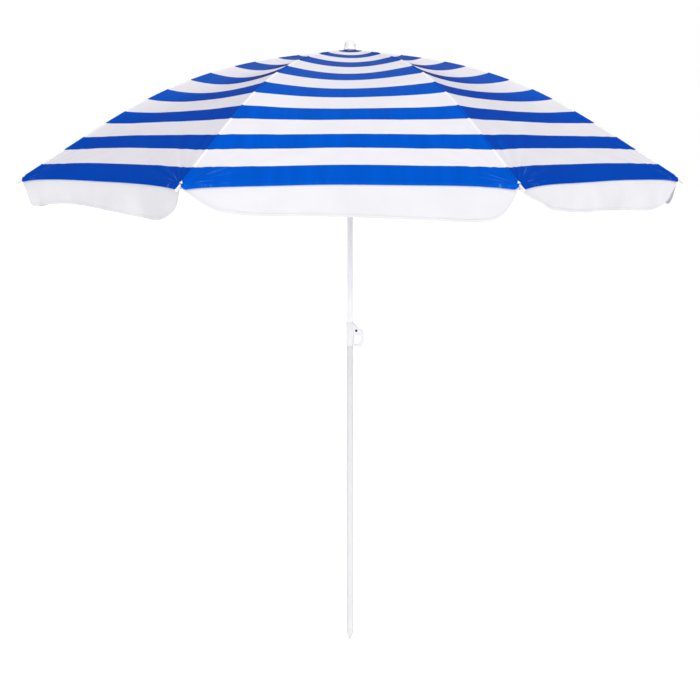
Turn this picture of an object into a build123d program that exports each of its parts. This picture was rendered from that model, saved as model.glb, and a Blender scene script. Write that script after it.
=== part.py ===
from build123d import *
from math import atan2, cos, degrees, hypot, radians, sin, tan
import os

# Beach umbrella, millimetres. The origin is the point of the ground spike, on the pole's axis, +Z up.
# Eight ribs hang on a wire ring in the crown. Each is held up by a stretcher from the runner's wire
# ring, and the runner sits on a spring catch in the upper pole.

# ---- driving dimensions ----
RIBS = 8
RIB_STEP = 360 / RIBS
FIRST_RIB = RIB_STEP / 2

RIM_HEIGHT = 1650.0
RIB_ARC = 1086.6
ROOT_SLOPE = 7.6
TIP_SLOPE = 32.4
BEND_START = 99.0
BEND_END = 907.0

ROD_R = 2.0
FABRIC = 0.6
FABRIC_RISE = 3.0
SEAM_GAP = 0.25
CANOPY_HOLE_R = 16.0
VALANCE_DROP = 75.0
VALANCE_NOTCH = 9.0
VALANCE_SLANT = 34.0
VALANCE_CORNER_R = 38.0

PIVOT_R = 22.0
RIVET_ARC = 402.0
RIVET_DROP = 7.0
WIRE_R = 1.0
PIVOT_CLEARANCE = 0.12
EYE_R = 2.8
NECK_THICK = 3.0
SLOT_W = 3.5
FLANGE_R = 26.5
HUB_CORE_R = 17.6
SOCKET_R = 14.0

UPPER_R = 9.5
UPPER_BORE_R = 8.7
LOWER_R = 11.0
LOWER_BORE_R = 10.0
SPIKE_CONE_TOP = 32.0
SPIKE_TOP = 178.0
PLUG_TOP = 238.0
LOWER_BOTTOM = 180.0
SPIKE_PIN_Z = 205.0
LOWER_TOP = 1160.0
UPPER_BOTTOM = 915.0
BEAD_BOTTOM = 1082.0
BEAD_H = 3.9

COLLAR_BOTTOM = 1086.0
COLLAR_TOP = 1166.0
COLLAR_R = 12.0
GUIDE_R = 9.62
LOCK_X = 21.0
LOCK_Z = 1138.0
LEVER_HALF = 4.8
EAR_THICK = 3.0
EAR_GAP = 0.2
BOSS_R = 10.5
CAM_R = 7.5
LOCK_PIN_R = 2.0

RIVET_R = 1.5
PIN_HOLE_R = 1.52
RIVET_HOLE_R = 1.56
SHOE_R = 3.9
CHANNEL_W = 7.0
CHANNEL_H = 6.0
SHEET = 0.8
LUG_THICK = 2.0

FINIAL_R = 19.4
FINIAL_H = 28.0
WASHER_R = 20.6
WASHER_RISE = 6.4
WASHER_THICK = 1.4
PATCH_R = 31.0
PATCH_THICK = 0.5
BOSS_TOP = 6.7
CATCH_THICK = 3.0

HALF_GORE = radians(RIB_STEP / 2)


# ---- the curve of a rib ----
def slope(arc):
    """A rib's slope below the horizontal at an arc length from the axis, in radians."""
    u = min(max((arc - BEND_START) / (BEND_END - BEND_START), 0), 1)
    return radians(ROOT_SLOPE + (TIP_SLOPE - ROOT_SLOPE) * u * u * (3 - 2 * u))


def run_and_drop(arc, steps=240):
    """How far out and how far down a rib has gone at an arc length from the axis."""
    step = arc / steps
    angles = [slope((i + 0.5) * step) for i in range(steps)]
    return step * sum(cos(a) for a in angles), step * sum(sin(a) for a in angles)


APEX_Z = RIM_HEIGHT + run_and_drop(RIB_ARC)[1]


def rib_point(arc, rise=0.0):
    """Radius and height of a point at an arc length, raised off the rib's centre line."""
    run, drop = run_and_drop(arc)
    angle = slope(arc)
    return run + rise * sin(angle), APEX_Z - drop + rise * cos(angle)


def spread(first, last, count):
    return [first + (last - first) * i / (count - 1) for i in range(count)]


# ---- the folding linkage: crown pivot, rivet and runner pivot make an isosceles triangle ----
PIVOT_ARC = PIVOT_R / cos(radians(ROOT_SLOPE))
CROWN_R, CROWN_Z = rib_point(PIVOT_ARC)
RIVET_X, RIVET_Z = rib_point(RIVET_ARC, -RIVET_DROP)
LINK = hypot(RIVET_X - CROWN_R, CROWN_Z - RIVET_Z)
LINK_ANGLE = degrees(atan2(CROWN_Z - RIVET_Z, RIVET_X - CROWN_R))
RUNNER_Z = 2 * RIVET_Z - CROWN_Z
RUNNER_SKIRT = RUNNER_Z - 36.0
CROWN_PIN_Z = CROWN_Z - 19.0


# ---- small helpers ----
def plate(outline, thickness):
    """A flat plate: an outline in radius and height, centred on the plane through the axis."""
    return extrude(Plane.XZ * outline, thickness / 2, both=True)


def cross_pin(radius, length, x, z):
    return Pos(x, 0, z) * Rot(90, 0, 0) * Cylinder(radius, length)


def x_pin(radius, length, z, x=0.0):
    return Pos(x, 0, z) * Rot(0, 90, 0) * Cylinder(radius, length)


def tube(outer, inner, bottom, top):
    ring = Circle(outer) - Circle(inner)
    return Pos(0, 0, bottom) * extrude(ring, top - bottom)


def rod(radius, bottom, top):
    return Pos(0, 0, bottom) * extrude(Circle(radius), top - bottom)


def around(azimuth, shape):
    return Rot(0, 0, azimuth) * shape


def save(shape, name):
    export_step(shape, f"parts/{name}.step")


def wire_ring(z):
    return Pos(0, 0, z) * Torus(PIVOT_R, WIRE_R)


def slotted_flange(bottom, top, groove_bottom, groove_top):
    """A hub flange with a radial slot per rib and a groove that holds the wire ring."""
    groove_r = WIRE_R + PIVOT_CLEARANCE
    flange = rod(FLANGE_R, bottom, top)
    flange = flange - tube(PIVOT_R + groove_r, PIVOT_R - groove_r, groove_bottom, groove_top)
    depth = FLANGE_R - HUB_CORE_R + 4
    slot = Pos(HUB_CORE_R + depth / 2, 0, (bottom + top) / 2) * Box(depth, SLOT_W, top - bottom + 2)
    for k in range(RIBS):
        flange = flange - around(FIRST_RIB + k * RIB_STEP, slot)
    return flange


# ---- canopy frame ----
def rib():
    first = PIVOT_ARC + 7.0
    points = [rib_point(arc) for arc in spread(first, RIB_ARC + 14.0, 12)]
    path = Spline(*[(x, 0, z) for x, z in points])
    body = sweep(Plane(path @ 0, z_dir=path % 0) * Circle(ROD_R), path=path)
    bar = Pos(4.6, 0) * Rectangle(9.2, 3.6)
    neck = Pos(CROWN_R, CROWN_Z) * Rot(0, 0, -ROOT_SLOPE) * (Circle(EYE_R) + bar)
    body = body + plate(neck, NECK_THICK)
    lug_top = Pos(RIVET_X + 1.6, RIVET_Z + 3.4) * Rot(0, 0, -13) * Rectangle(8.0, 6.0)
    lug = Pos(RIVET_X, RIVET_Z) * Circle(4.2) + lug_top
    body = body + plate(lug, LUG_THICK)
    body = body - cross_pin(WIRE_R + PIVOT_CLEARANCE, 10, CROWN_R, CROWN_Z)
    return body - cross_pin(RIVET_HOLE_R, 10, RIVET_X, RIVET_Z)


def rib_tip():
    """A moulded cap with a ball end over the rib's outer end."""
    start, length, ball_r = 1.0, 19.0, 4.3
    x, z = rib_point(RIB_ARC + start)
    shell = extrude(Circle(3.5), length) + Pos(0, 0, length) * Sphere(ball_r)
    shell = shell - extrude(Circle(ROD_R + 0.03), 13.5)
    direction = (cos(slope(RIB_ARC)), 0, -sin(slope(RIB_ARC)))
    return Plane((x, 0, z), z_dir=direction) * shell


def stretcher():
    """A pressed steel channel with a flat eye at the runner and a fork at the rib."""
    half_w, half_h = CHANNEL_W / 2, CHANNEL_H / 2
    channel_start, fork = 10.0, 9.0
    outer = Pos((channel_start + LINK) / 2, 0, 0) * Box(LINK - channel_start, CHANNEL_W, CHANNEL_H)
    outer = outer + cross_pin(half_h, CHANNEL_W, LINK, 0)
    hollow_start = channel_start + 4.0
    hollow_len = LINK - hollow_start + 10
    hollow_w = CHANNEL_W - 2 * SHEET
    hollow = Pos(hollow_start + hollow_len / 2, 0, SHEET) * Box(hollow_len, hollow_w, CHANNEL_H)
    mouth = Pos(LINK + 2, 0, 0) * Box(2 * fork + 4, hollow_w, 2 * CHANNEL_H)
    web_cut = Pos(LINK, 0, -half_h) * Box(2 * fork, hollow_w, 2 * SHEET)
    neck = Circle(EYE_R) + Pos(6.0, 0) * Rectangle(12.0, 4.4)
    body = outer - hollow - mouth - web_cut + plate(neck, NECK_THICK)
    body = body - cross_pin(WIRE_R + PIVOT_CLEARANCE, 10, 0, 0)
    body = body - cross_pin(RIVET_R, 10, LINK, 0)
    rivet = cross_pin(RIVET_R, CHANNEL_W, LINK, 0)
    for side in (-1, 1):
        head = Pos(LINK, side * (half_w + 0.45), 0) * Rot(90, 0, 0) * Cylinder(2.7, 0.9)
        rivet = rivet + head
    placed = Pos(PIVOT_R, 0, RUNNER_Z) * Rot(0, -LINK_ANGLE, 0)
    return [placed * body, placed * rivet]


def crown():
    """The top hub: slotted flange, socket over the pole's end and a boss through the canopy."""
    flange = slotted_flange(CROWN_Z - 5, CROWN_Z + 1.6, CROWN_Z - WIRE_R - 0.1, CROWN_Z + 3)
    body = flange + rod(SOCKET_R, CROWN_Z - 32, CROWN_Z) + rod(8.0, CROWN_Z, CROWN_Z + BOSS_TOP)
    body = body - rod(UPPER_R + 0.05, CROWN_Z - 33, CROWN_Z - 6)
    body = body - rod(2.55, CROWN_Z - 8, CROWN_Z + BOSS_TOP + 1)
    return body - x_pin(PIN_HOLE_R, 60, CROWN_PIN_Z)


def runner():
    """The sliding hub: slotted flange on a skirt that rests on the spring catch."""
    flange = slotted_flange(RUNNER_Z - 5, RUNNER_Z + 5, RUNNER_Z - 6, RUNNER_Z + WIRE_R + 0.1)
    body = flange + rod(SOCKET_R, RUNNER_SKIRT, RUNNER_Z) + rod(SOCKET_R, RUNNER_Z, RUNNER_Z + 9)
    grip = tube(SOCKET_R + 1.6, SOCKET_R - 1, RUNNER_SKIRT, RUNNER_SKIRT + 5)
    return body + grip - rod(UPPER_R + 0.1, RUNNER_SKIRT - 1, RUNNER_Z + 10)


# ---- upper pole and what it carries ----
CATCH_TOP = RUNNER_SKIRT - 0.6
CATCH_LEN = 60.0
CATCH_PIVOT_Z = CATCH_TOP - CATCH_LEN
CATCH_PIVOT_IN = 3.0


def catch():
    """A steel blade on a pin in the pole; its tooth stands out through a slit under the runner."""
    z = CATCH_TOP
    low = CATCH_PIVOT_Z
    inner, outer = CATCH_PIVOT_IN - 2.2, CATCH_PIVOT_IN + 2.2
    corners = [(inner, low), (outer, low), (8.3, z - 30), (14.0, z - 2), (13.6, z)]
    corners += [(4.6, z), (inner, z - 14)]
    outline = make_face(Polyline(*corners, close=True)) + Pos(CATCH_PIVOT_IN, low) * Circle(2.2)
    blade = plate(outline, CATCH_THICK) - cross_pin(RIVET_HOLE_R, 10, CATCH_PIVOT_IN, low)
    return around(-90, blade)


def catch_pin():
    """A steel pin across the upper pole, its ends ground flush with the tube."""
    pin = cross_pin(RIVET_R, 2 * UPPER_R, CATCH_PIVOT_IN, CATCH_PIVOT_Z)
    pin = pin & rod(UPPER_R - 0.05, CATCH_PIVOT_Z - 5, CATCH_PIVOT_Z + 5)
    return around(-90, pin)


def upper_pole():
    body = tube(UPPER_R, UPPER_BORE_R, UPPER_BOTTOM, CROWN_Z - 6.2)
    slit_h = 34.0
    slit = Pos(UPPER_R, 0, CATCH_TOP + 1 - slit_h / 2) * Box(6, CATCH_THICK + 0.6, slit_h)
    body = body - around(-90, slit)
    body = body - around(-90, cross_pin(PIN_HOLE_R, 30, CATCH_PIVOT_IN, CATCH_PIVOT_Z))
    return body - x_pin(PIN_HOLE_R, 60, CROWN_PIN_Z)


def pole_bush():
    """A plastic plug in the upper pole's foot that guides it in the lower pole."""
    flange = rod(LOWER_BORE_R - 0.1, UPPER_BOTTOM - 25, UPPER_BOTTOM)
    plug = rod(UPPER_BORE_R - 0.05, UPPER_BOTTOM, UPPER_BOTTOM + 18)
    flange = chamfer(flange.edges().group_by(Axis.Z)[0], 1.0)
    return flange + plug - rod(5, UPPER_BOTTOM - 30, UPPER_BOTTOM + 30)


def finial():
    """A domed cap with a flared foot and a stud that screws into the crown."""
    foot = CROWN_Z + WASHER_RISE + WASHER_THICK + 0.1
    top = foot + FINIAL_H
    shoulder = top - 15.0
    neck_r = FINIAL_R - 2.0
    flare = [(0, foot), (FINIAL_R, foot), (FINIAL_R, foot + 1.6), (neck_r, foot + 4.6)]
    side = Polyline(*flare, (neck_r - 0.2, shoulder))
    dome = Spline((neck_r - 0.2, shoulder), (13.4, top - 5.0), (0, top), tangents=[(-0.05, 1), (-1, 0)])
    axis_line = Line((0, top), (0, foot))
    cap = revolve(Plane.XZ * make_face(side + dome + axis_line), Axis.Z)
    return cap + rod(2.5, CROWN_Z - 5, foot)


def canopy_washer():
    return tube(WASHER_R, 8.1, CROWN_Z + WASHER_RISE, CROWN_Z + WASHER_RISE + WASHER_THICK)


def canopy_patch():
    """A round patch over the panels' inner ends, under the washer, sloped like the canopy."""
    under = FABRIC_RISE + FABRIC + 0.3
    inner = rib_point(8.3, under)
    outer = rib_point(PATCH_R, under)
    up = PATCH_THICK
    corners = [inner, outer, (outer[0], outer[1] + up), (inner[0], inner[1] + up)]
    return revolve(Plane.XZ * make_face(Polyline(*corners, close=True)), Axis.Z)


# ---- lower pole and its lock ----
def lower_pole():
    body = tube(LOWER_R, LOWER_BORE_R, LOWER_BOTTOM, LOWER_TOP)
    body = body + tube(LOWER_R + 0.7, LOWER_R - 0.5, BEAD_BOTTOM, BEAD_BOTTOM + BEAD_H)
    body = body - x_pin(SHOE_R + 0.1, 20, LOCK_Z, 15)
    return body - x_pin(PIN_HOLE_R, 60, SPIKE_PIN_Z)


def ground_spike():
    """A moulded point with a shank as thick as the pole and a plug inside it."""
    points = [(0, 0), (1.2, 0), (LOWER_R - 0.6, SPIKE_CONE_TOP - 2), (LOWER_R, SPIKE_CONE_TOP)]
    points += [(LOWER_R, SPIKE_TOP), (LOWER_BORE_R - 0.05, SPIKE_TOP)]
    points += [(LOWER_BORE_R - 0.05, PLUG_TOP - 1), (LOWER_BORE_R - 1, PLUG_TOP), (0, PLUG_TOP)]
    body = revolve(Plane.XZ * make_face(Polyline(*points, close=True)), Axis.Z)
    return body - x_pin(PIN_HOLE_R, 60, SPIKE_PIN_Z)


def lock_collar():
    """A sleeve over the lower pole's mouth, with two ears that hold the lever's pin."""
    body = tube(COLLAR_R, LOWER_R + 0.03, COLLAR_BOTTOM, LOWER_TOP)
    body = body + tube(COLLAR_R, GUIDE_R, LOWER_TOP, COLLAR_TOP)
    boss = Pos(LOCK_X, LOCK_Z) * Circle(BOSS_R)
    root = Pos(8.0, (LOCK_Z + COLLAR_TOP) / 2 - 8) * Rectangle(8.0, COLLAR_TOP - LOCK_Z + 10)
    outline = make_hull(boss.edges() + root.edges())
    for side in (-1, 1):
        offset = side * (LEVER_HALF + EAR_GAP + EAR_THICK / 2)
        body = body + Pos(0, offset, 0) * plate(outline, EAR_THICK)
    body = body - rod(LOWER_R + 0.03, COLLAR_BOTTOM - 1, LOWER_TOP)
    body = body - rod(GUIDE_R, LOWER_TOP - 1, COLLAR_TOP + 1)
    body = body - cross_pin(LOCK_PIN_R + 0.02, 40, LOCK_X, LOCK_Z)
    return body - x_pin(SHOE_R + 0.1, 12, LOCK_Z, 15)


def lock_shoe():
    """The friction pad between the lever's head and the upper pole."""
    body = x_pin(SHOE_R, 3.7, LOCK_Z, 11.5)
    return body - rod(GUIDE_R + 0.03, LOCK_Z - 10, LOCK_Z + 10)


def lock_pin():
    pin = cross_pin(LOCK_PIN_R, 2 * (LEVER_HALF + EAR_GAP + EAR_THICK), LOCK_X, LOCK_Z)
    for side in (-1, 1):
        y = side * (LEVER_HALF + EAR_GAP + EAR_THICK + 0.5)
        pin = pin + Pos(LOCK_X, y, LOCK_Z) * Rot(90, 0, 0) * Cylinder(4.2, 1.0)
    return pin


def lock_lever():
    """A D-shaped grip that hangs along the pole and swings out to free the upper pole."""
    grip = [(-CAM_R, 0), (4, CAM_R - 1), (20, 0), (26, -9), (26, -43), (15, -58), (-CAM_R, -54)]
    hole = [(-4, -17), (13.8, -17), (13.8, -40), (7, -49), (-4, -49)]
    outline = make_face(Polyline(*grip, close=True))
    outline = fillet(outline.vertices().sort_by_distance((5, -30, 0))[-6:], 3.5)
    window = make_face(Polyline(*hole, close=True))
    window = fillet(window.vertices(), 3.0)
    flat = outline + Circle(CAM_R) - window - Circle(LOCK_PIN_R + 0.06)
    return plate(Pos(LOCK_X, LOCK_Z) * flat, 2 * LEVER_HALF)


# ---- canopy cloth ----
def gore():
    """One panel of the canopy, centred on azimuth 0 and straight from rib to rib."""
    first = (CANOPY_HOLE_R - FABRIC_RISE * sin(slope(0))) / cos(slope(0))
    arcs = spread(first, RIB_ARC, 12)
    under = [rib_point(arc, FABRIC_RISE) for arc in arcs]
    over = [rib_point(arc, FABRIC_RISE + FABRIC) for arc in arcs]
    under = [(x * cos(HALF_GORE), z) for x, z in under]
    over = [(x * cos(HALF_GORE), z) for x, z in over]
    ends = Line(under[-1], over[-1]) + Line(over[0], under[0])
    section = make_face(Spline(*under) + Spline(*over) + ends)
    sheet = extrude(Plane.XZ * section, 500, both=True)
    point, far = SEAM_GAP / sin(HALF_GORE), 1100.0
    half = (far - point) * tan(HALF_GORE)
    wedge = make_face(Polyline((point, 0), (far, -half), (far, half), close=True))
    return sheet & Pos(0, 0, RIM_HEIGHT - 100) * extrude(wedge, 700)


def valance():
    """The flap that hangs from one panel's edge, on azimuth 0."""
    x, z = rib_point(RIB_ARC, FABRIC_RISE)
    half = x * tan(HALF_GORE) * cos(HALF_GORE) - VALANCE_NOTCH
    low = half - VALANCE_SLANT
    corners = [(-half, z), (half, z), (low, z - VALANCE_DROP), (-low, z - VALANCE_DROP)]
    flap = make_face(Polyline(*corners, close=True))
    flap = fillet(flap.vertices().group_by(Axis.Y)[0], VALANCE_CORNER_R)
    return Pos(x * cos(HALF_GORE) + 0.3, 0, 0) * extrude(Plane.YZ * flap, FABRIC)


# ---- write every piece ----
os.makedirs("parts", exist_ok=True)

singles = {
    "lower_pole": lower_pole,
    "ground_spike": ground_spike,
    "lock_collar": lock_collar,
    "lock_shoe": lock_shoe,
    "lock_pin": lock_pin,
    "lock_lever": lock_lever,
    "upper_pole": upper_pole,
    "pole_bush": pole_bush,
    "catch_pin": catch_pin,
    "runner_catch": catch,
    "crown": crown,
    "finial": finial,
    "canopy_washer": canopy_washer,
    "canopy_patch": canopy_patch,
    "runner": runner,
}
for name, make in singles.items():
    save(make(), name)

save(wire_ring(CROWN_Z), "crown_wire")
save(wire_ring(RUNNER_Z), "runner_wire")
save(x_pin(RIVET_R, 2 * SOCKET_R - 0.3, CROWN_PIN_Z), "crown_pin")
save(x_pin(RIVET_R, 2 * LOWER_R - 0.3, SPIKE_PIN_Z), "spike_pin")

one_rib, one_tip, one_gore, one_valance = rib(), rib_tip(), gore(), valance()
one_stretcher = stretcher()
for k in range(RIBS):
    rib_azimuth = FIRST_RIB + k * RIB_STEP
    panel_azimuth = (k + 1) * RIB_STEP
    save(around(rib_azimuth, one_rib), f"rib_{k + 1}")
    save(around(rib_azimuth, one_tip), f"rib_tip_{k + 1}")
    solids = [around(rib_azimuth, solid) for solid in one_stretcher]
    save(Compound(children=solids), f"stretcher_{k + 1}")
    save(around(panel_azimuth, one_gore), f"canopy_gore_{k + 1}")
    save(around(panel_azimuth, one_valance), f"valance_{k + 1}")
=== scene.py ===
from math import atan2, cos, pi, radians, sin
import bpy
import numpy as np
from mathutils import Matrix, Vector


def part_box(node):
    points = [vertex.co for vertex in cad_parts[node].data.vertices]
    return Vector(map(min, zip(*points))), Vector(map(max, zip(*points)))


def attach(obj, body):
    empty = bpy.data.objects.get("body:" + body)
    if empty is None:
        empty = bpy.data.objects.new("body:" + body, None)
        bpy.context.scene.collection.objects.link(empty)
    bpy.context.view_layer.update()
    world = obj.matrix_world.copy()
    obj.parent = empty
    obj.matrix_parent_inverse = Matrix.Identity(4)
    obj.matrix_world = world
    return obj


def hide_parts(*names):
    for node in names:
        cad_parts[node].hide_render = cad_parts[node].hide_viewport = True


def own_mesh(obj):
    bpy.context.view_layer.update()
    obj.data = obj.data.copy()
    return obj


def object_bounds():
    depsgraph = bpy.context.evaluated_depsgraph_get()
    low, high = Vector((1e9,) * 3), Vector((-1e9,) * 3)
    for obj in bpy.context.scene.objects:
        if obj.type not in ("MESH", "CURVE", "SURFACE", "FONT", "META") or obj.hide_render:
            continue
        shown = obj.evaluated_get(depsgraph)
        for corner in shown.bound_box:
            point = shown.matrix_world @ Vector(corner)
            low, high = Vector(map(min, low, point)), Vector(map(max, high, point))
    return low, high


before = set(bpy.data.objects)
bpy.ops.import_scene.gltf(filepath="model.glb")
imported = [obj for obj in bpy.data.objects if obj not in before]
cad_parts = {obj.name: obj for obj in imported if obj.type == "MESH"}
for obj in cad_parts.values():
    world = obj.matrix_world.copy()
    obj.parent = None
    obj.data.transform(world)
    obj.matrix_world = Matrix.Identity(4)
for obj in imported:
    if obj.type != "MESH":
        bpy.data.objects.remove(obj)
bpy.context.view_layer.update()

# Lengths are metres. Rib k stands at azimuth 22.5 + 45 (k - 1) degrees. Panel k is centred on 45 k
# degrees, between ribs k and k + 1. The cross fraction v runs over a panel from -1 at rib k to +1 at
# rib k + 1, which is its right edge seen from outside. The arc s runs down a rib from the apex.

PANELS = 8
STEP = radians(45)
HALF = STEP / 2
UP = np.array([0.0, 0.0, 1.0])

# ---- the curve of a rib, as in the CAD source ----
RIB_ARC = 1.0866
ROOT, TIP = radians(7.6), radians(32.4)
BEND_START, BEND_LENGTH = 0.099, 0.808
ARCS = np.linspace(0, RIB_ARC + 0.02, 2400)
# The cloth's underside lies this far off the rib's centre line.
UNDERSIDE = 0.003
CLOTH_THICK = 0.0006


def smooth(x):
    """0 below 0, 1 above 1, and a smooth step between."""
    x = np.clip(x, 0, 1)
    return x * x * (3 - 2 * x)


def slope(s):
    """How steeply a rib falls at arc s."""
    return ROOT + (TIP - ROOT) * smooth((np.asarray(s, float) - BEND_START) / BEND_LENGTH)


MIDDLES = slope((ARCS[1:] + ARCS[:-1]) / 2)
RUN = np.r_[0, np.cumsum(np.cos(MIDDLES) * np.diff(ARCS))]
DROP = np.r_[0, np.cumsum(np.sin(MIDDLES) * np.diff(ARCS))]
RIM_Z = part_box("canopy_gore_8")[0].z - UNDERSIDE * cos(TIP)
APEX_Z = RIM_Z + float(np.interp(RIB_ARC, ARCS, DROP))
RIM_R = float(np.interp(RIB_ARC, ARCS, RUN))
RIM_HALF = RIM_R * sin(HALF)


def rib_line(s):
    """Radius and height of the cloth's outer face over a rib, at arc s."""
    a = slope(s)
    rise = UNDERSIDE + CLOTH_THICK
    r = np.interp(s, ARCS, RUN) + rise * np.sin(a)
    return r, APEX_Z - np.interp(s, ARCS, DROP) + rise * np.cos(a)


def direction(azimuth):
    return np.array([cos(azimuth), sin(azimuth), 0.0])


def rib_azimuth(k):
    return HALF + (k - 1) * STEP


def wrap(k):
    """The number of a panel or rib, counted on round the canopy."""
    return (k - 1) % PANELS + 1


# ---- the surface of a canopy panel ----
# How far the middle of a panel hangs under the straight line between its ribs, and how far the
# cut of the cloth pulls it back up the slope near the rim, against radius.
SAG_R = np.array([0, 0.1, 0.2, 0.31, 0.37, 0.44, 0.50, 0.57, 0.635, 0.70, 0.76, 0.82, 0.88, 1.1])
SAG = np.array([0, 4, 9.5, 15, 17.8, 20.5, 20, 17.8, 13.8, 9.6, 5, 2, 0.5, 0]) / 1000
PULL_R = np.array([0, 0.66, 0.76, 0.82, 0.88, 0.947, 1.0, 1.1])
PULL = np.array([0, 0, 3, 5.5, 9.5, 11, 9.5, 9]) / 1000

# Folds that fan out of a rim corner: how many in a right angle, and how high.
TENSION_FOLDS = ((5.0, 0.0011), (8.3, 0.0006))
FOLD_START, FOLD_REACH, FOLD_EDGE = 0.045, 0.17, 0.03
# Puckers along a seam.
PUCKER_LENGTH, PUCKER_HEIGHT, PUCKER_REACH, PUCKER_EDGE = 0.0235, 0.00035, 0.022, 0.006
PUCKER_DRIFT, DRIFT_PER_M = 1.7, 31
# Slow unevenness of the open cloth.
UNEVEN_WAVES, UNEVEN_HEIGHT, UNEVEN_EDGE = 5, 0.00045, 0.05


def ripple(k, s, u, half):
    """Small folds in panel k, along its normal, at arc s and u metres from its middle. They are
    nothing at the ribs themselves."""
    rng = np.random.default_rng(20 + k)
    out = np.zeros(np.broadcast(s, u).shape)
    for side in (-1, 1):
        across = half - side * u
        along = RIB_ARC - s
        rho = np.hypot(across, along) + 1e-6
        theta = np.arctan2(across, along)
        fade = (1 - np.exp(-(rho / FOLD_START) ** 2)) * np.exp(-rho / FOLD_REACH)
        for count, height in TENSION_FOLDS:
            phase = rng.uniform(0, 2 * pi)
            out += height * fade * np.cos(4 * count * theta + phase) * smooth(across / FOLD_EDGE)
        drift = PUCKER_DRIFT * np.sin(s * DRIFT_PER_M + k)
        pucker = np.sin(2 * pi * s / PUCKER_LENGTH + drift + rng.uniform(0, 6))
        fade = np.exp(-across / PUCKER_REACH) * smooth(across / PUCKER_EDGE)
        out += PUCKER_HEIGHT * pucker * fade
    fade = smooth((half - np.abs(u)) / UNEVEN_EDGE)
    for _ in range(UNEVEN_WAVES):
        per_u, per_s, phase = rng.uniform(6, 20), rng.uniform(3, 11), rng.uniform(0, 2 * pi)
        out += UNEVEN_HEIGHT * fade * np.sin(per_u * u + per_s * s + phase)
    return out


def panel(k, s, v):
    """Points of panel k's outer face, one row per arc in s and one column per cross fraction in v."""
    s, v = np.asarray(s, float)[:, None], np.asarray(v, float)[None, :]
    r, z = rib_line(s)
    a = slope(s)
    middle = 1 - v * v
    half = r * sin(HALF)
    pull = np.interp(r, PULL_R, PULL) * middle
    lift = ripple(k, s, half * v, half)
    out = r * cos(HALF) - pull * np.cos(a) + lift * np.sin(a)
    high = z - np.interp(r, SAG_R, SAG) * middle + pull * np.sin(a) + lift * np.cos(a)
    side = half * v
    e_r, e_t = direction(k * STEP), direction(k * STEP + pi / 2)
    return out[..., None] * e_r + side[..., None] * e_t + high[..., None] * UP


def spaced(count):
    """Cross fractions in twice count steps, finer at the ribs, with 0 exactly in the middle."""
    v = np.sin(pi / 2 * np.linspace(-1, 1, 2 * count + 1))
    v[count] = 0.0
    return v


# ---- sheets of cloth as closed meshes ----
def grid_normals(p):
    n = np.cross(np.gradient(p, axis=0), np.gradient(p, axis=1))
    return n / np.maximum(np.linalg.norm(n, axis=2, keepdims=True), 1e-12)


def grid_edge(rows, cols):
    """The vertex numbers round the edge of a grid, in order."""
    loop = list(range(cols))
    loop += [r * cols + cols - 1 for r in range(1, rows)]
    loop += [(rows - 1) * cols + c for c in range(cols - 2, -1, -1)]
    loop += [r * cols for r in range(rows - 2, 0, -1)]
    return np.array(loop)


def sheet(name, outer, normals, uv, thick, material):
    """A closed thin shell: the outer face, an inner face below it and walls round the edge."""
    rows, cols = outer.shape[:2]
    inner = outer - normals * thick
    verts = np.concatenate([outer.reshape(-1, 3), inner.reshape(-1, 3)])
    count = rows * cols
    i = np.arange(rows - 1)[:, None] * cols + np.arange(cols - 1)[None, :]
    i = i.ravel()
    top = np.stack([i, i + cols, i + cols + 1, i + 1], 1)
    bottom = top[:, ::-1] + count
    loop = grid_edge(rows, cols)
    after = np.roll(loop, -1)
    walls = np.stack([loop, after, after + count, loop + count], 1)
    faces = np.concatenate([top, bottom, walls])
    mesh = bpy.data.meshes.new(name)
    mesh.from_pydata(verts.tolist(), [], faces.tolist())
    mesh.polygons.foreach_set("use_smooth", np.ones(len(faces), bool))
    all_uv = np.concatenate([uv.reshape(-1, 2), uv.reshape(-1, 2)])
    layer = mesh.uv_layers.new(name="UVMap")
    layer.data.foreach_set("uv", all_uv[faces.ravel()].astype(np.float32).ravel())
    n = np.concatenate([normals.reshape(-1, 3), -normals.reshape(-1, 3)])
    per_loop = n[faces.ravel()].reshape(-1, 4, 3)
    w = verts[walls]
    wall_n = np.cross(w[:, 2] - w[:, 0], w[:, 3] - w[:, 1])
    wall_n /= np.maximum(np.linalg.norm(wall_n, axis=1, keepdims=True), 1e-12)
    per_loop[-len(walls):] = wall_n[:, None, :]
    mesh.normals_split_custom_set(per_loop.reshape(-1, 3).tolist())
    mesh.materials.append(material)
    obj = bpy.data.objects.new(name, mesh)
    bpy.context.scene.collection.objects.link(obj)
    return obj


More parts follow.
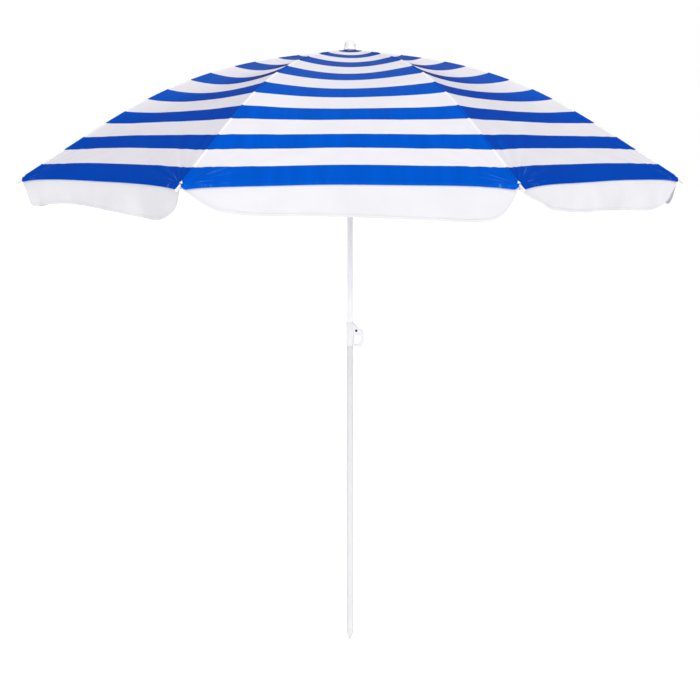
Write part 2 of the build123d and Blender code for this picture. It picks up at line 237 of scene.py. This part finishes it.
# ---- material helpers ----
class Graph:
    """A short way to write node trees."""

    def __init__(self, name):
        self.material = bpy.data.materials.new(name)
        self.material.use_nodes = True
        self.tree = self.material.node_tree
        self.tree.nodes.clear()
        self.out = self.tree.nodes.new("ShaderNodeOutputMaterial")

    def node(self, kind, inputs=None, **settings):
        n = self.tree.nodes.new(kind)
        for key, value in settings.items():
            setattr(n, key, value)
        for key, value in (inputs or {}).items():
            self.feed(n.inputs[key], value)
        return n

    def feed(self, socket, value):
        if isinstance(value, bpy.types.NodeSocket):
            self.tree.links.new(value, socket)
        elif isinstance(value, bpy.types.Node):
            self.tree.links.new(value.outputs[0], socket)
        else:
            socket.default_value = value

    def math(self, op, a, b=0.0, clamp=False):
        return self.node("ShaderNodeMath", {0: a, 1: b}, operation=op, use_clamp=clamp).outputs[0]

    def add(self, a, b):
        return self.math("ADD", a, b)

    def less(self, a, b):
        return self.math("SUBTRACT", a, b)

    def times(self, a, b):
        return self.math("MULTIPLY", a, b)

    def length(self, a, b):
        """The length of the vector (a, b)."""
        return self.math("SQRT", self.add(self.times(a, a), self.times(b, b)))

    def mix(self, fac, a, b):
        n = self.node("ShaderNodeMix", data_type="RGBA")
        self.feed(n.inputs[0], fac)
        self.feed(n.inputs[6], a)
        self.feed(n.inputs[7], b)
        return n.outputs[2]

    def ramp(self, value, low, high):
        n = self.node("ShaderNodeMapRange", {0: value, 1: low, 2: high, 3: 0.0, 4: 1.0})
        n.interpolation_type = "SMOOTHSTEP"
        return n.outputs[0]

    def noise(self, vector, scale, detail=3.0, rough=0.5):
        n = self.node("ShaderNodeTexNoise", {"Scale": scale, "Detail": detail, "Roughness": rough})
        self.feed(n.inputs["Vector"], vector)
        return n.outputs[0]

    def stretch(self, vector, scale):
        return self.node("ShaderNodeMapping", {"Vector": vector, "Scale": scale}).outputs[0]

    def bump(self, height, distance, strength=1.0, normal=None):
        n = self.node("ShaderNodeBump", {"Height": height, "Distance": distance, "Strength": strength})
        if normal is not None:
            self.feed(n.inputs["Normal"], normal)
        return n.outputs[0]


def rgb(r, g, b):
    return (r, g, b, 1.0)


# ---- cloth ----
# The printed bands, counted up the panel from the rim: a blue one, then a white one, and so on.
PERIOD = 0.1414
BLUE_SHARE = 0.0673 / PERIOD
BAND_WOBBLE, BAND_SOFT = 0.0012, 0.004
# How much the half width of a panel shrinks for each metre up from the rim.
TAPER = cos(TIP) * sin(HALF)
SEWN_POINT = 0.013
STITCH_ARC, STITCH_HALF, STITCHES_PER_M, STITCH_SHARE = 0.0068, 0.0006, 280.0, 0.72
HEM_EDGE = (0.0072, 0.0088)
WEAVE_SCALE = 230.0
GLOW_SHARE = 0.14
# Where the print gets painted shade, sheen and light: cosine of the azimuth from -Y, cosine of the angle
# between the cloth's normal and the line of sight, and arc up from the rim.
SIDE_SHADE_FADE, EDGE_ON_SHADE_FADE = (0.66, 0.93), (0.055, 0.115)
BLUE_SHEEN_FADE, WHITE_LIGHT_FADE = (0.25, 1.0), (0.6, 1.0)
# Creases grow and fade with the distance from the corner.
CREASE_GROW, CREASE_FADE = (0.012, 0.03), (0.03, 0.13)

BLUE_THREADS = rgb(0.0, 0.092, 0.585), rgb(0.0, 0.108, 0.665)
# Painted shade: the deeper blue of panels turned away from the front, darker as if less lit.
BLUE_SIDE_PAINTED_SHADE = rgb(0.0, 0.057, 0.455)
# Painted sheen and shade: the greyer blue towards the apex.
BLUE_APEX_SHEEN_AND_SHADE = rgb(0.035, 0.104, 0.45)
# Painted shade: the dark navy where the cloth is seen edge-on.
BLUE_EDGE_ON_PAINTED_SHADE = rgb(0.022, 0.032, 0.22)
WHITE_THREADS = rgb(0.855, 0.83, 0.885), rgb(0.885, 0.865, 0.91)
# Painted light: the brighter white towards the apex.
WHITE_APEX_PAINTED_LIGHT = rgb(0.93, 0.905, 0.945)
# Painted shade: the grey mixed into the white of panels turned away from the front.
WHITE_SIDE_PAINTED_SHADE = rgb(0.1, 0.1, 0.12)
WHITE_SEWN = rgb(0.935, 0.93, 0.95)
VALANCE_THREADS = rgb(0.735, 0.728, 0.76), rgb(0.765, 0.758, 0.785)
# Painted highlight: the light blue along the corner creases.
CREASE_PAINTED_HIGHLIGHT = rgb(0.25, 0.50, 0.95)
# Painted shade in the hollows of the weave.
WEAVE_PAINTED_SHADE = rgb(0.02, 0.03, 0.06)
SEWING_THREAD = rgb(0.42, 0.42, 0.46)


def bands(g, uv, arc):
    """1 in the blue bands and 0 in the white ones, with a slightly uneven printed edge."""
    wobble = g.times(g.less(g.noise(uv, 60.0, 2.0), 0.5), BAND_WOBBLE)
    place = g.add(g.add(arc, wobble), 4 * PERIOD)
    place = g.math("FRACT", g.math("DIVIDE", place, PERIOD))
    rise = g.ramp(place, -BAND_SOFT, BAND_SOFT)
    fall = g.ramp(place, BLUE_SHARE - BAND_SOFT, BLUE_SHARE + BAND_SOFT)
    blue = g.math("SUBTRACT", rise, fall, True)
    return g.math("MAXIMUM", blue, g.ramp(place, 1 - BAND_SOFT, 1 + BAND_SOFT))


def front_light_share(g, normal):
    """1 where the cloth's azimuth is near -Y, down to 0 where it is turned well away from it. Where it
    falls, the print gets painted shade.
    """
    aim = g.node("ShaderNodeSeparateXYZ", {0: normal}).outputs
    level = g.math("MAXIMUM", g.length(aim[0], aim[1]), 0.02)
    return g.ramp(g.math("DIVIDE", g.times(aim[1], -1.0), level), *SIDE_SHADE_FADE)


def blue_cloth(g, arc, streak, geometry, front):
    """Blue print. Painted shade deepens it where it is turned away from the front or seen edge-on, and a
    painted sheen makes it paler towards the apex.
    """
    blue = g.mix(g.ramp(streak, 0.3, 0.75), *BLUE_THREADS)
    # Painted shade on cloth turned away from the front.
    blue = g.mix(front, BLUE_SIDE_PAINTED_SHADE, blue)
    # Painted sheen and shade towards the apex, stronger where the cloth faces the front.
    high = g.times(g.ramp(arc, *BLUE_SHEEN_FADE), g.add(0.25, g.times(front, 0.75)))
    blue = g.mix(high, blue, BLUE_APEX_SHEEN_AND_SHADE)
    sockets = {0: geometry["Normal"], 1: geometry["Incoming"]}
    facing = g.node("ShaderNodeVectorMath", sockets, operation="DOT_PRODUCT").outputs["Value"]
    # Painted shade where the cloth is seen edge-on to the camera.
    edge_on_shade = g.less(1.0, g.ramp(g.math("ABSOLUTE", facing), *EDGE_ON_SHADE_FADE))
    return g.mix(edge_on_shade, blue, BLUE_EDGE_ON_PAINTED_SHADE)


def white_cloth(g, arc, cloud, front):
    """White print. Painted light brightens it towards the apex, and painted shade greys it a little where
    it is turned away from the front.
    """
    white = g.mix(g.ramp(cloud, 0.3, 0.7), *WHITE_THREADS)
    # Painted light towards the apex.
    white = g.mix(g.ramp(arc, *WHITE_LIGHT_FADE), white, WHITE_APEX_PAINTED_LIGHT)
    # Painted shade: grey on cloth turned away from the front.
    return g.mix(g.times(g.less(1.0, front), 0.09), white, WHITE_SIDE_PAINTED_SHADE)


def corner_creases(g, u, arc):
    """Fine creases out of a panel's rim corners: a fan pattern, where it shows, and the lines along it that
    carry a painted highlight.
    """
    across = g.less(RIM_HALF, g.times(arc, TAPER))
    across = g.less(across, g.math("ABSOLUTE", u))
    bend = g.math("ARCTAN2", across, g.add(arc, 0.001))
    reach = g.length(across, arc)
    polar = {0: g.times(bend, 9.0), 1: g.times(reach, 7.0), 2: g.math("SIGN", u)}
    fan = g.noise(g.node("ShaderNodeCombineXYZ", polar), 1.0, 3.0, 0.6)
    near = g.times(g.ramp(reach, *CREASE_GROW), g.less(1.0, g.ramp(reach, *CREASE_FADE)))
    crease_glints = g.times(g.times(g.ramp(fan, 0.56, 0.66), near), g.ramp(bend, 0.35, 0.9))
    return fan, near, crease_glints


def hem_stitches(g, u, arc):
    """The row of stitches that holds the valance's hem."""
    off = g.math("ABSOLUTE", g.less(arc, STITCH_ARC))
    dash = g.math("LESS_THAN", g.math("FRACT", g.times(u, STITCHES_PER_M)), STITCH_SHARE)
    return g.times(g.math("LESS_THAN", off, STITCH_HALF), dash)


def plain_weave(g, uv):
    """The height of crossed threads."""
    heights = []
    for way in "XY":
        wave = {"Scale": WEAVE_SCALE, "Distortion": 0.4, "Vector": uv}
        heights.append(g.node("ShaderNodeTexWave", wave, bands_direction=way).outputs["Fac"])
    return g.times(*heights)


def cloth(name, striped, sewn=False):
    """Woven polyester. The UV map holds metres: across the panel, and up from the rim.
    sewn is the doubled cloth of a seam: whiter, and white where it ends in the rib's pocket."""
    g = Graph(name)
    uv = g.node("ShaderNodeUVMap", uv_map="UVMap").outputs[0]
    parts = g.node("ShaderNodeSeparateXYZ", {0: uv})
    u, arc = parts.outputs[0], parts.outputs[1]
    grain = (26.0, 2.2, 1.0) if striped else (14.0, 5.0, 1.0)
    streak = g.noise(g.stretch(uv, grain), 1.0, 4.0, 0.55)
    cloud = g.noise(uv, 9.0, 3.0)
    weave = plain_weave(g, uv)
    if striped:
        geometry = g.node("ShaderNodeNewGeometry").outputs
        front = front_light_share(g, geometry["Normal"])
        blue = blue_cloth(g, arc, streak, geometry, front)
        white = WHITE_SEWN if sewn else white_cloth(g, arc, cloud, front)
        in_blue = bands(g, uv, arc)
        if sewn:
            point = g.less(SEWN_POINT, g.times(g.math("ABSOLUTE", u), 2.0))
            in_blue = g.times(in_blue, g.math("GREATER_THAN", arc, point))
        fan, near, crease_glints = corner_creases(g, u, arc)
        colour = g.mix(in_blue, white, blue)
        # Painted highlight along the corner creases.
        colour = g.mix(g.times(crease_glints, 0.2), colour, CREASE_PAINTED_HIGHLIGHT)
    else:
        colour = g.mix(g.ramp(cloud, 0.3, 0.7), *VALANCE_THREADS)
    # Painted shade in the weave.
    colour = g.mix(g.times(weave, 0.04), colour, WEAVE_PAINTED_SHADE)
    normal = g.bump(weave, 0.00006, 0.5)
    normal = g.bump(streak, 0.0016, 0.45, normal)
    normal = g.bump(g.noise(g.stretch(uv, (70.0, 9.0, 1.0)), 1.0, 3.0), 0.0004, 0.5, normal)
    if striped:
        normal = g.bump(g.times(fan, near), 0.006, 0.5, normal)
    else:
        stitches = hem_stitches(g, u, arc)
        colour = g.mix(g.times(stitches, 0.22), colour, SEWING_THREAD)
        normal = g.bump(g.ramp(arc, *HEM_EDGE), -0.0004, 0.6, normal)
        normal = g.bump(stitches, -0.0005, 0.8, normal)
    main = g.node("ShaderNodeBsdfPrincipled", {"Base Color": colour, "Roughness": 0.65, "Normal": normal})
    main.inputs["Specular IOR Level"].default_value = 0.006
    glow = g.node("ShaderNodeBsdfTranslucent", {"Color": colour, "Normal": normal})
    both = g.node("ShaderNodeMixShader", {0: GLOW_SHARE, 1: main.outputs[0], 2: glow.outputs[0]})
    g.feed(g.out.inputs[0], both.outputs[0])
    return g.material


CANOPY = cloth("canopy_cloth", True)
VALANCE = cloth("valance_cloth", False)
SEAMS = cloth("canopy_seam", True, sewn=True)

# ---- paint, mouldings, steel and rubber ----
EDGE_RADIUS = 0.0006
BLOTCH_SCALE, SPECK_SCALE = 23.0, 260.0


def grey(level, tint=0.0):
    """A grey with a little more or less blue."""
    return (level, level, level + tint)


def hard(name, base, worn, rough, metal=0.0, grain=(1.0, 1.0, 1.0), peel=700.0, depth=0.00002, coat=0.0):
    """A hard surface: uneven gloss, a fine skin of scale peel, light wear and softened edges."""
    g = Graph(name)
    at = g.node("ShaderNodeTexCoord").outputs["Object"]
    fine = g.noise(g.stretch(at, grain), peel, 3.0)
    broad = g.noise(at, BLOTCH_SCALE, 4.0, 0.6)
    specks = g.ramp(g.noise(at, SPECK_SCALE, 2.0), 0.66, 0.74)
    scuff = g.times(specks, g.ramp(broad, 0.45, 0.7))
    colour = g.mix(g.times(g.ramp(broad, 0.3, 0.75), 0.35), rgb(*base), rgb(*worn))
    colour = g.mix(g.times(scuff, 0.35), colour, rgb(*worn))
    gloss = g.add(g.times(g.less(broad, 0.5), 0.18), rough)
    gloss = g.add(gloss, g.times(g.less(fine, 0.5), 0.12))
    edge = g.node("ShaderNodeBevel", {"Radius": EDGE_RADIUS}, samples=4).outputs[0]
    normal = g.bump(fine, depth, 0.6, edge)
    main = g.node("ShaderNodeBsdfPrincipled", {"Base Color": colour, "Roughness": gloss, "Metallic": metal})
    g.feed(main.inputs["Normal"], normal)
    main.inputs["Coat Weight"].default_value = coat
    main.inputs["Coat Roughness"].default_value = 0.18
    g.feed(g.out.inputs[0], main.outputs[0])
    return g.material


def powder_coat(name, level, worn):
    """White powder coat on a drawn tube, with its grain along the tube."""
    return hard(name, grey(level, 0.005), grey(worn), 0.36, grain=(1, 1, 0.35), peel=520, coat=0.12)


# One white coat in two copies, painted shade and light: the lower tube's darker against the lamps, the
# upper tube's lighter against the canopy's shadow.
TUBE_DIMMED = powder_coat("white_tube", 0.65, 0.59)
TUBE_BRIGHTENED = powder_coat("white_tube_brightened", 0.875, 0.81)
ROD = hard("white_rod", grey(0.78, 0.01), grey(0.66), 0.40, peel=900)
MOULD = hard("white_moulding", grey(0.79), grey(0.70, -0.01), 0.38, peel=1500, depth=0.000012)
STEEL = hard("bare_steel", grey(0.42, 0.01), (0.28, 0.27, 0.26), 0.34, 1.0, (1, 1, 0.08), peel=1600)
DARK = hard("dark_steel", grey(0.05), grey(0.12), 0.5, metal=0.6, peel=1600)
PAD = hard("grey_pad", grey(0.16, 0.01), grey(0.10), 0.75, peel=1100, depth=0.00005)

FINISH = {
    "lower_pole": TUBE_DIMMED, "ground_spike": TUBE_DIMMED, "upper_pole": TUBE_BRIGHTENED,
    "rib": ROD, "stretcher": ROD, "rib_tip": MOULD,
    "lock_collar": MOULD, "lock_lever": MOULD, "pole_bush": MOULD, "crown": MOULD, "runner": MOULD,
    "finial": MOULD, "canopy_washer": MOULD,
    "crown_wire": STEEL, "runner_wire": STEEL, "crown_pin": STEEL, "spike_pin": STEEL,
    "catch_pin": STEEL, "runner_catch": STEEL, "lock_pin": DARK, "lock_shoe": PAD,
}
for name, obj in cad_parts.items():
    stem = name.rstrip("0123456789").rstrip("_")
    if stem in FINISH:
        obj.data.materials.clear()
        obj.data.materials.append(FINISH[stem])


def gather(obj, rib, node):
    """Hangs a piece on its rib's body, gives it a mesh of its own and hides the CAD node it stands in for.
    """
    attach(obj, f"rib_{rib}")
    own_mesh(obj)
    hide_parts(node)


def two_halves(stem, k, points, normals, uv, material, node):
    """Splits a panel or flap in its middle, and gives each half to the rib beside it."""
    middle = points.shape[1] // 2
    sides = ("a", slice(0, middle + 1), k, 1), ("b", slice(middle, None), wrap(k + 1), -1)
    for tag, cols, rib, side in sides:
        grids = points[:, cols], normals[:, cols], uv[:, cols]
        obj = sheet(f"{stem}_{k}{tag}", *grids, CLOTH_THICK, material)
        gather(obj, rib, f"{node}_{k}")


# ---- canopy panels, each with its hem turned down at the rim ----
HOLE_ARC, FIRST_ARC = 0.017, 0.024
PANEL_V = spaced(30)
PANEL_S = np.r_[HOLE_ARC, np.linspace(FIRST_ARC, RIB_ARC, 150)]
# In the print, the rim lies EDGE_ARC inside the first blue band, and the whole hem at HEM_ARC.
EDGE_ARC, HEM_ARC = 0.0012, 0.012
HEM_MIDDLE, HEM_CORNER, HEM_AT_RIB, HEM_GAP = 0.0068, 0.0078, 0.0052, 0.035
HEM_STAND, HEM_BEND = 0.0012, 0.004


def hem_depth(v):
    """How far the hem reaches below the rim: deeper at the corners, short where it meets a rib."""
    full = HEM_MIDDLE + HEM_CORNER * np.abs(v) ** 8
    return full + (HEM_AT_RIB - full) * smooth((np.abs(v) - 1 + HEM_GAP) / HEM_GAP)


HEM = np.array([0.2, 0.45, 0.72, 1.0])[:, None] * hem_depth(PANEL_V)[None, :]
HEM_OUT = 0.5 * HEM + HEM_STAND * smooth(HEM / HEM_BEND)

for k in range(1, PANELS + 1):
    p = panel(k, PANEL_S, PANEL_V)
    hem = p[-1][None] + HEM_OUT[..., None] * direction(k * STEP) - HEM[..., None] * UP
    p = np.concatenate([p, hem])
    across = (rib_line(PANEL_S)[0] * sin(HALF))[:, None] * PANEL_V
    uv = np.stack(np.broadcast_arrays(across, (RIB_ARC - PANEL_S)[:, None] + EDGE_ARC), 2)
    hem_uv = np.stack(np.broadcast_arrays(RIM_HALF * PANEL_V, HEM_ARC), 1)
    uv = np.concatenate([uv, np.repeat(hem_uv[None], len(HEM), 0)])
    two_halves("canopy_panel", k, p, grid_normals(p), uv, CANOPY, "canopy_gore")

# ---- valance flaps ----
# A flap's cut: the cross fraction, and the depth there in millimetres, seen from outside. Three
# cuts are shared out round the canopy, and the three front flaps keep them as they are.
CUTS = [
    [(-1, 8), (-0.985, 15), (-0.95, 40), (-0.925, 63), (-0.90, 78), (-0.87, 82), (-0.80, 79),
     (-0.70, 75.6), (-0.49, 71.4), (-0.285, 70.8), (-0.086, 72.3), (0.106, 77.1), (0.293, 81.2),
     (0.474, 87.3), (0.65, 90.2), (0.742, 87.9), (0.823, 81.1), (0.892, 70.1), (0.95, 55),
     (0.985, 33), (1, 8)],
    [(-1, 6), (-0.985, 13.7), (-0.945, 25.4), (-0.888, 41.8), (-0.83, 56), (-0.789, 62.2),
     (-0.742, 66.1), (-0.624, 71.9), (-0.476, 75.6), (-0.03, 80.6), (0.417, 85.6), (0.596, 88.5),
     (0.714, 89.2), (0.774, 88.9), (0.821, 86.3), (0.862, 81.5), (0.891, 74.6), (0.919, 65.4),
     (0.947, 49.5), (0.969, 33.6), (0.985, 15.6), (1, 6)],
    [(-1, 7), (-0.989, 17), (-0.888, 34), (-0.774, 46), (-0.679, 60), (-0.596, 69.1),
     (-0.416, 77.1), (-0.23, 82), (-0.041, 81.4), (0.223, 86.1), (0.566, 91.1), (0.665, 89.6),
     (0.777, 82.5), (0.885, 61.2), (0.986, 19.9), (1, 7)],
]
CUT_OF = {1: 1, 2: 0, 3: 1, 4: 2, 5: 0, 6: 1, 7: 2, 8: 0}
FRONT = (5, 6, 7)
FLAP_V = spaced(56)
# The rows of a flap, as shares of its depth, closer together near its edge.
FLAP_T = np.r_[np.linspace(0, 0.86, 14), np.linspace(0.89, 1, 6)]
# The waves of the hanging cloth: share of the full height, and length. The last one is its sway.
WAVES = ((0.55, 0.31), (0.35, 0.17), (0.18, 0.083), (0.5, 0.52))
WAVE_HEIGHT, FREE_DEPTH = 0.0060, 0.085
# Near its ends a flap is stiffer, and all of it stands a little off the canopy's hem.
STIFF_END, STIFF_SHARE = 0.12, 0.65
FLAP_STAND, STAND_DEPTH = 0.0015, 0.01
UNEVEN_CUT = 0.03


def flap_depth(k, rng):
    """Depth of flap k at the fractions FLAP_V, with the corners of its cut rounded."""
    cut = np.array(CUTS[CUT_OF[k]])
    fine = np.linspace(-1, 1, 1201)
    kernel = np.hanning(41)
    depth = np.interp(fine, cut[:, 0], cut[:, 1] / 1000)
    depth = np.pad(depth, len(kernel) // 2, mode="reflect", reflect_type="odd")
    depth = np.convolve(depth, kernel / kernel.sum(), mode="valid")
    depth = np.interp(FLAP_V, fine, depth)
    if k not in FRONT:
        depth = depth * (1 + UNEVEN_CUT * np.sin(5 * FLAP_V + rng.uniform(0, 6)))
    return depth


def flap(k):
    """Points and UVs of flap k, which hangs from panel k's rim in slow waves."""
    rng = np.random.default_rng(60 + k)
    depth = flap_depth(k, rng)
    u = FLAP_V * RIM_HALF
    phases = rng.uniform(0, 2 * pi, len(WAVES))
    *wave, sway = [a * np.sin(2 * pi * u / length + p) for (a, length), p in zip(WAVES, phases)]
    down = depth[None, :] * FLAP_T[:, None]
    loose = 1 - STIFF_SHARE + STIFF_SHARE * smooth((1 - np.abs(FLAP_V)) / STIFF_END)
    swing = (sum(wave) * loose + sway)[None, :]
    out = WAVE_HEIGHT * smooth(down / FREE_DEPTH) * swing + FLAP_STAND * smooth(down / STAND_DEPTH)
    rim = panel(k, [RIB_ARC], FLAP_V)[0]
    p = rim[None] + out[..., None] * direction(k * STEP) - down[..., None] * UP
    return p, np.stack(np.broadcast_arrays(u[None, :], depth[None, :] - down), 2)


for k in range(1, PANELS + 1):
    p, uv = flap(k)
    two_halves("valance_flap", k, p, grid_normals(p), uv, VALANCE, "valance")

# ---- the sewn seam along each rib ----
# Across the seam: the distance from the rib, and the height over the panels.
SEAM = np.array([-5.0, -4.0, -2.7, -1.3, 0.0, 1.3, 2.7, 4.0, 5.0]) / 1000
HEIGHT = np.array([0.15, 0.75, 0.95, 1.05, 1.25, 1.05, 0.95, 0.75, 0.15]) / 1000
SEAM_S = np.linspace(0.03, RIB_ARC - 0.001, 260)
SEAM_THICK = 0.0005
SEAM_UNEVEN, UNEVEN_PER_M = 0.0001, 370


def seam_line(k, offset, height):
    """A line along rib k, offset across it and raised over the cloth of the panel on that side."""
    owner = k if offset >= 0 else wrap(k - 1)
    edge = -1 if offset >= 0 else 1
    v = edge * (1 - abs(offset) / (rib_line(SEAM_S)[0] * sin(HALF)))
    line = np.concatenate([panel(owner, [s], [w])[0] for s, w in zip(SEAM_S, v)])
    a = slope(SEAM_S)[:, None]
    up = np.sin(a) * direction(rib_azimuth(k)) + np.cos(a) * UP
    return line + up * (height + SEAM_UNEVEN * np.sin(SEAM_S * UNEVEN_PER_M)[:, None])


for k in range(1, PANELS + 1):
    p = np.stack([seam_line(k, offset, height) for offset, height in zip(SEAM, HEIGHT)], 1)
    uv = np.stack(np.broadcast_arrays(SEAM[None, :], (RIB_ARC - SEAM_S)[:, None] + EDGE_ARC), 2)
    obj = sheet(f"rib_seam_{k}", p, grid_normals(p), uv, SEAM_THICK, SEAMS)
    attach(obj, f"rib_{k}")
    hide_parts(f"canopy_gore_{k}")

# ---- the round patch under the washer ----
PATCH_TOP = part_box("canopy_patch")[1]
PATCH_HOLE_R = 0.0083
PATCH_THICK = 0.0005
PATCH_RIPPLE, PATCH_FLAT_R, PATCH_RISE = 0.0006, 0.012, 0.018
patch_r = np.linspace(PATCH_HOLE_R, PATCH_TOP.x, 14)
pr, pt = np.meshgrid(patch_r, np.linspace(0, 2 * pi, 97), indexing="ij")
lift = PATCH_RIPPLE * np.cos(PANELS * (pt - HALF)) * smooth((pr - PATCH_FLAT_R) / PATCH_RISE)
pz = PATCH_TOP.z - (pr - PATCH_HOLE_R) * np.tan(ROOT) + lift
p = np.stack([pr * np.cos(pt), pr * np.sin(pt), pz], 2)
uv = np.stack([pt * 0.03, PATCH_TOP.x - pr], 2)
obj = sheet("top_patch", p, grid_normals(p), uv, PATCH_THICK, VALANCE)
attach(obj, "upper_pole")
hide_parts("canopy_patch")

# ---- floor: pale, clear from below, and as bright to the camera as the backdrop ----
FLOOR_SIZE = 80
FLOOR_GLOW = 0.40
floor_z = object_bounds()[0].z
g = Graph("floor")
at = g.node("ShaderNodeTexCoord").outputs["Object"]
seen = g.node("ShaderNodeLightPath").outputs["Is Camera Ray"]
tone = g.mix(g.ramp(g.noise(at, 0.6, 2.0), 0.3, 0.7), rgb(*grey(0.86)), rgb(*grey(0.88)))
pale = g.node("ShaderNodeBsdfPrincipled", {"Base Color": tone, "Roughness": 0.9})
pale.inputs["Specular IOR Level"].default_value = 0.0
pale.inputs["Emission Color"].default_value = rgb(1.0, 1.0, 1.0)
g.feed(pale.inputs["Emission Strength"], g.times(seen, FLOOR_GLOW))
under = g.node("ShaderNodeNewGeometry").outputs["Backfacing"]
clear = g.node("ShaderNodeBsdfTransparent")
one_sided = g.node("ShaderNodeMixShader", {0: under, 1: pale.outputs[0], 2: clear.outputs[0]})
g.feed(g.out.inputs[0], one_sided.outputs[0])
bpy.ops.mesh.primitive_plane_add(size=FLOOR_SIZE, location=(0, 0, floor_z))
floor = bpy.context.object
floor.name = "floor"
floor.visible_shadow = False
floor.data.materials.append(g.material)

# ---- light: a white studio that lights the object less than it shows, and five wide suns ----
AMBIENT = 0.39
world = bpy.data.worlds.new("studio")
bpy.context.scene.world = world
world.use_nodes = True
tree = world.node_tree
sky = tree.nodes["Background"]
sky.inputs[0].default_value = rgb(1.0, 1.0, 1.0)
path = tree.nodes.new("ShaderNodeLightPath")
level = tree.nodes.new("ShaderNodeMapRange")
level.inputs[3].default_value = AMBIENT
level.inputs[4].default_value = 1.0
tree.links.new(path.outputs["Is Camera Ray"], level.inputs[0])
tree.links.new(level.outputs[0], sky.inputs[1])


def soft_sun(name, azimuth, elevation, strength, spread):
    """A wide soft light, angles in degrees: azimuth 0 shines along +Y, from the camera's side."""
    data = bpy.data.lights.new(name, "SUN")
    data.energy = strength
    data.angle = radians(spread)
    lamp = bpy.data.objects.new(name, data)
    a, e = radians(azimuth), radians(elevation)
    toward = Vector((-sin(a) * cos(e), cos(a) * cos(e), -sin(e)))
    lamp.rotation_euler = toward.to_track_quat("-Z", "Y").to_euler()
    bpy.context.scene.collection.objects.link(lamp)


soft_sun("key", 13, 31, 1.63, 50)
soft_sun("back", 180, 35, 1.0, 60)
soft_sun("front", 4, 4, 1.2, 40)
soft_sun("left", -75, -12, 1.0, 40)
soft_sun("right", 75, -12, 0.75, 40)

# ---- camera: in front of the umbrella, a little above its rim, looking down ----
CAMERA_BACK, CAMERA_OVER_RIM = 3.0485, 0.0772
CAMERA_DOWN = 12.16
SENSOR, LENS = 36, 47.67
camera_data = bpy.data.cameras.new("camera")
camera_data.sensor_width = SENSOR
camera_data.lens = LENS
camera_data.clip_end = 200
camera = bpy.data.objects.new("camera", camera_data)
camera.location = (0, -CAMERA_BACK, RIM_Z + CAMERA_OVER_RIM)
camera.rotation_euler = (radians(90 - CAMERA_DOWN), 0, 0)
bpy.context.scene.collection.objects.link(camera)
bpy.context.scene.camera = camera
bpy.context.scene.view_settings.view_transform = "Standard"
